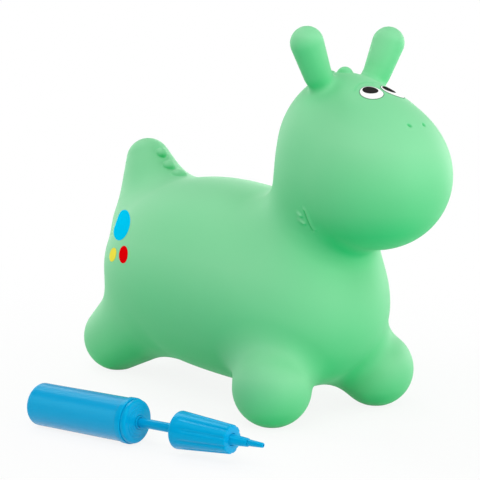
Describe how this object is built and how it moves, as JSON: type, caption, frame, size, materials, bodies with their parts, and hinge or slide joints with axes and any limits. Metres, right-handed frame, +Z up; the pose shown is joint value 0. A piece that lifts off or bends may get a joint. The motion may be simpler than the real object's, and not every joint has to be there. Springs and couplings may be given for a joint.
{
  "type": "inflatable ride-on dinosaur",
  "caption": "Inflatable bouncy ride-on dinosaur with horn handles, a belly air valve with a stopper, printed eyes and flank spots, and a small two-handed air pump.",
  "frame": {"origin": "on the floor under the middle of the whole set's bounding box, dinosaur and pump together", "axes": "+Z up, -Y the way the dinosaur faces, -X its right side, where the pump lies"},
  "size_m": [0.4774, 0.6097, 0.483],
  "materials": {
    "green_vinyl": "matte soft vinyl",
    "white_stopper": "smooth soft plastic",
    "white_print": "printed ink",
    "black_print": "printed ink",
    "blue_print": "printed ink",
    "yellow_print": "printed ink",
    "red_print": "printed ink",
    "blue_plastic": "smooth gloss plastic",
    "black_rubber": "matte rubber"
  },
  "bodies": {
    "dinosaur": {"body_skin": "green_vinyl", "right_eye_white": "white_print", "right_pupil": "black_print", "right_blue_spot": "blue_print", "right_yellow_spot": "yellow_print", "right_red_spot": "red_print", "left_eye_white": "white_print", "left_pupil": "black_print", "left_blue_spot": "blue_print", "left_yellow_spot": "yellow_print", "left_red_spot": "red_print"},
    "stopper": {"valve_plug": "white_stopper"},
    "pump_body": {"pump_barrel": "blue_plastic", "pump_end_cap": "blue_plastic", "rod_guide_bush": "blue_plastic"},
    "pump_plunger": {"pump_rod": "blue_plastic", "piston": "blue_plastic", "piston_cup_seal": "black_rubber", "pump_grip": "blue_plastic", "nozzle_base": "blue_plastic", "nozzle_tip": "blue_plastic"},
    "outlet_valve": {"outlet_valve_disc": "black_rubber"}
  },
  "joints": [
    {"name": "stopper_pull", "type": "slide", "parent": "dinosaur", "child": "stopper", "axis": [0, 0, -1], "range_m": [0, 0.015]},
    {"name": "pump_lift", "type": "slide", "parent": "dinosaur", "child": "pump_body", "axis": [0, 0, 1], "range_m": [0, 0.3]},
    {"name": "pump_stroke", "type": "slide", "parent": "pump_body", "child": "pump_plunger", "axis": [0.3007, -0.9537, 0.009], "range_m": [-0.055, 0.055]},
    {"name": "outlet_valve_travel", "type": "slide", "parent": "pump_plunger", "child": "outlet_valve", "axis": [0.3007, -0.9537, 0.009], "range_m": [0, 0.0025]}
  ]
}
